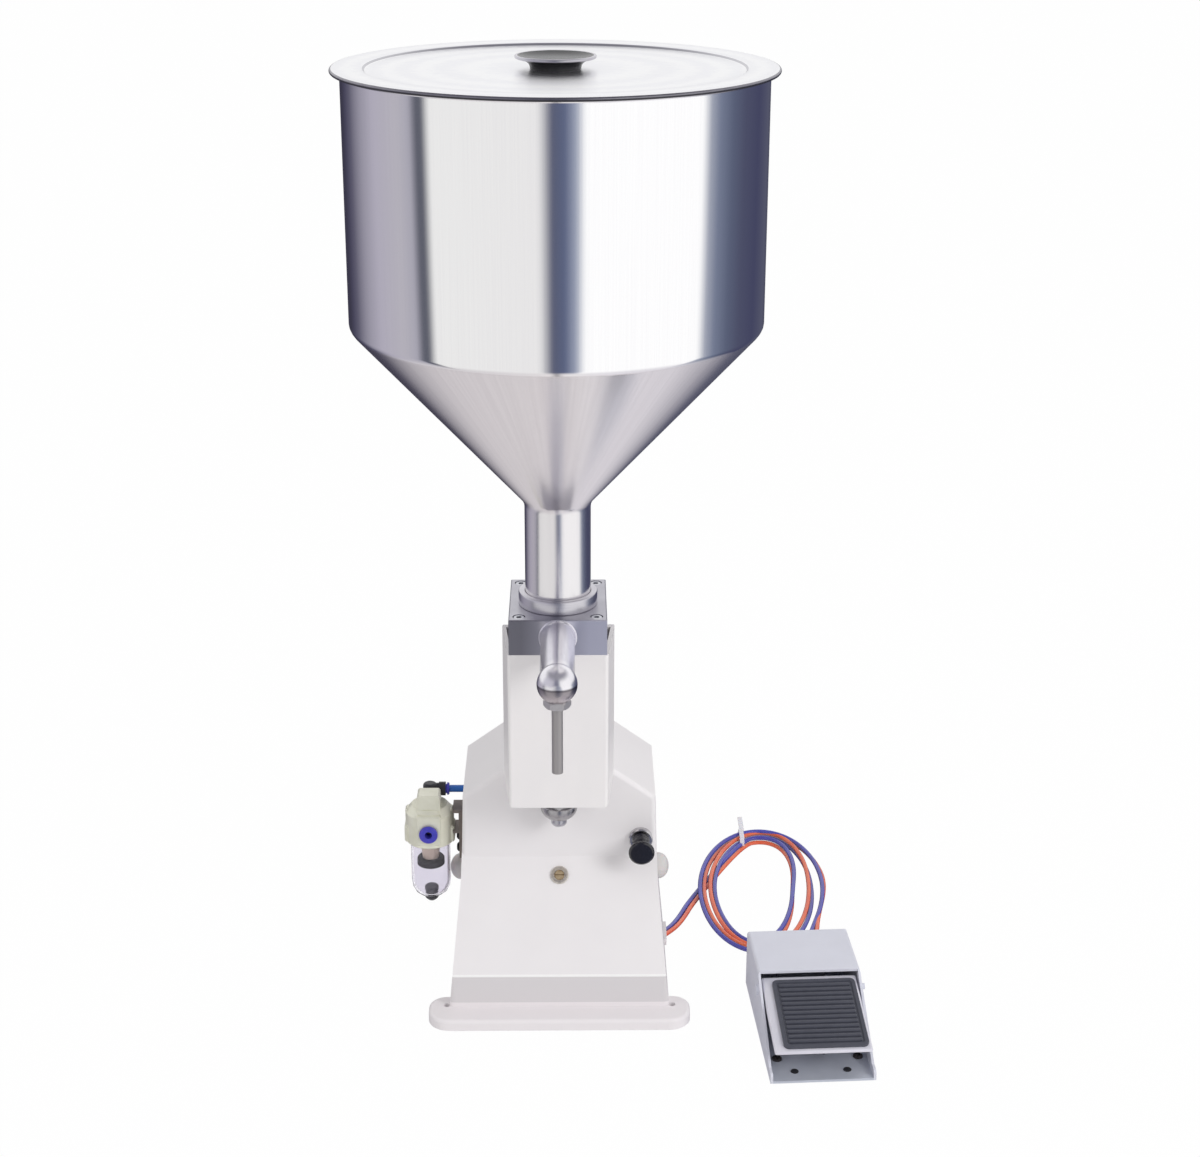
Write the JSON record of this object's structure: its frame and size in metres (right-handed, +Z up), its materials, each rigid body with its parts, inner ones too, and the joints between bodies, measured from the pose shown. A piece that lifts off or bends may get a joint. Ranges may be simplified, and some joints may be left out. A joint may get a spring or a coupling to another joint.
{
  "type": "piston paste filling machine",
  "caption": "Bench filling machine: a conical steel hopper over a piston pump, with an outlet spout, an air filter and a foot pedal on coiled air tubes.",
  "frame": {"origin": "midway between the two front bolt holes, on the floor", "axes": "+X to the operator's right, +Y to the back, +Z up; the outlet spout points along -Y"},
  "size_m": [0.4081, 0.465, 0.7656],
  "materials": {
    "white_paint": "semi-gloss off-white enamel",
    "hopper_steel": "polished stainless sheet with fine upright lines",
    "turned_steel": "turned stainless, satin",
    "block_steel": "ground stainless",
    "chrome_plate": "bright plating",
    "zinc_plate": "zinc plating",
    "anodised_aluminium": "clear anodised",
    "ground_rod_steel": "ground and chromed rod",
    "seal_rubber": "black nitrile",
    "black_plastic": "moulded black plastic",
    "knob_plastic": "glossy black knob",
    "blue_plastic": "blue release collar",
    "filter_cast": "champagne coated die casting",
    "bowl_plastic": "clear polycarbonate",
    "sintered_bronze": "sintered",
    "bracket_steel": "plain steel strip",
    "brass_bezel": "nickelled brass",
    "cap_plastic": "off-white plug",
    "pedal_paint": "light grey powder coat",
    "pad_rubber": "ribbed black rubber",
    "spring_steel": "spring wire",
    "blue_tube": "blue polyurethane tube",
    "orange_tube": "orange polyurethane tube",
    "tie_plastic": "natural nylon"
  },
  "bodies": {
    "frame": {"body_casting": "white_paint", "front_housing": "white_paint", "rear_cover": "white_paint", "machine_screws": "zinc_plate", "valve_block": "block_steel", "block_screws": "zinc_plate", "hopper": "hopper_steel", "hopper_collar": "turned_steel", "valve_seats": "turned_steel", "inlet_spring": "spring_steel", "outlet_spout": "turned_steel", "outlet_spring": "spring_steel", "nozzle_nut": "turned_steel", "nozzle_tube": "turned_steel", "material_cylinder": "turned_steel", "cylinder_flange": "anodised_aluminium", "air_cylinder_barrel": "anodised_aluminium", "air_cylinder_end": "anodised_aluminium", "tie_rods": "zinc_plate", "push_in_fittings": "brass_bezel", "main_air_valve": "anodised_aluminium", "hand_valve_body": "chrome_plate", "speed_bezel": "brass_bezel", "side_caps": "cap_plastic", "tube_grommet": "seal_rubber", "filter_bracket": "bracket_steel", "filter_head": "filter_cast", "filter_bowl": "bowl_plastic", "filter_element": "sintered_bronze", "filter_baffle": "black_plastic", "elbow_fitting": "black_plastic", "filter_tube": "blue_tube", "pedal_base": "pedal_paint", "pedal_cover": "pedal_paint", "pedal_pin": "zinc_plate", "pedal_spring": "spring_steel", "pedal_valve": "anodised_aluminium", "air_tube_lead_blue": "blue_tube", "air_tube_lead_orange": "orange_tube", "air_tube_coil": "blue_tube", "air_tube_tail_blue": "blue_tube", "air_tube_tail_orange": "orange_tube", "cable_tie": "tie_plastic"},
    "lid_body": {"lid": "hopper_steel", "lid_knob": "turned_steel"},
    "piston_body": {"piston": "turned_steel", "piston_seals": "seal_rubber", "piston_rod": "ground_rod_steel", "air_piston": "anodised_aluminium"},
    "stroke_nut_body": {"stroke_nut": "chrome_plate"},
    "inlet_ball_body": {"inlet_ball": "chrome_plate"},
    "outlet_ball_body": {"outlet_ball": "chrome_plate"},
    "hand_knob_body": {"hand_valve_knob": "knob_plastic"},
    "speed_screw_body": {"speed_screw": "brass_bezel"},
    "drain_body": {"drain_knob": "black_plastic"},
    "inlet_ring_body": {"inlet_release_ring": "blue_plastic"},
    "elbow_ring_body": {"elbow_release_ring": "blue_plastic"},
    "treadle_body": {"pedal_treadle": "pedal_paint", "treadle_pad": "pad_rubber"},
    "plunger_body": {"pedal_plunger": "turned_steel"}
  },
  "joints": [
    {"name": "lid_lift", "type": "slide", "parent": "frame", "child": "lid_body", "axis": [0, 0, 1], "range_m": [0, 0.12]},
    {"name": "piston_slide", "type": "slide", "parent": "frame", "child": "piston_body", "axis": [0, 0, 1], "range_m": [0, 0.03]},
    {"name": "stroke_nut_turn", "type": "hinge", "parent": "piston_body", "child": "stroke_nut_body", "pos_m": [0, 0.041, 0.17], "axis": [0, 0, 1], "continuous": true},
    {"name": "inlet_ball_slide", "type": "slide", "parent": "frame", "child": "inlet_ball_body", "axis": [0, 0, -1], "range_m": [0, 0.0035], "stiffness_N_per_m": 100, "springref_m": -0.01, "deforming": ["inlet_spring"]},
    {"name": "outlet_ball_slide", "type": "slide", "parent": "frame", "child": "outlet_ball_body", "axis": [0, -1, 0], "range_m": [0, 0.004], "stiffness_N_per_m": 100, "springref_m": -0.01, "deforming": ["outlet_spring"]},
    {"name": "hand_valve_push", "type": "slide", "parent": "frame", "child": "hand_knob_body", "axis": [0, 1, 0], "range_m": [0, 0.006]},
    {"name": "speed_screw_turn", "type": "hinge", "parent": "frame", "child": "speed_screw_body", "pos_m": [0, 0.04955, 0.1018], "axis": [0, -0.7719, 0.6358], "range_deg": [0, 720]},
    {"name": "drain_turn", "type": "hinge", "parent": "frame", "child": "drain_body", "pos_m": [-0.108, 0.086, 0.063], "axis": [0, 0, 1], "range_deg": [0, 90]},
    {"name": "inlet_release_press", "type": "slide", "parent": "frame", "child": "inlet_ring_body", "axis": [0, 1, 0], "range_m": [0, 0.001], "stiffness_N_per_m": 500, "springref_m": -0.002},
    {"name": "elbow_release_press", "type": "slide", "parent": "frame", "child": "elbow_ring_body", "axis": [-1, 0, 0], "range_m": [0, 0.001], "stiffness_N_per_m": 500, "springref_m": -0.002},
    {"name": "treadle_press", "type": "hinge", "parent": "frame", "child": "treadle_body", "pos_m": [0.20151, -0.01881, 0.0355], "axis": [0.9986, 0.0523, 0], "range_deg": [0, 10], "stiffness_Nm_per_rad": 3, "springref_deg": -8.59, "deforming": ["pedal_spring"]},
    {"name": "plunger_slide", "type": "slide", "parent": "frame", "child": "plunger_body", "axis": [0, 0, -1], "range_m": [0, 0.0028]}
  ],
  "couplings": [
    {"joint": "plunger_slide", "follows": "treadle_press", "m_per_rad": 0.0155}
  ]
}
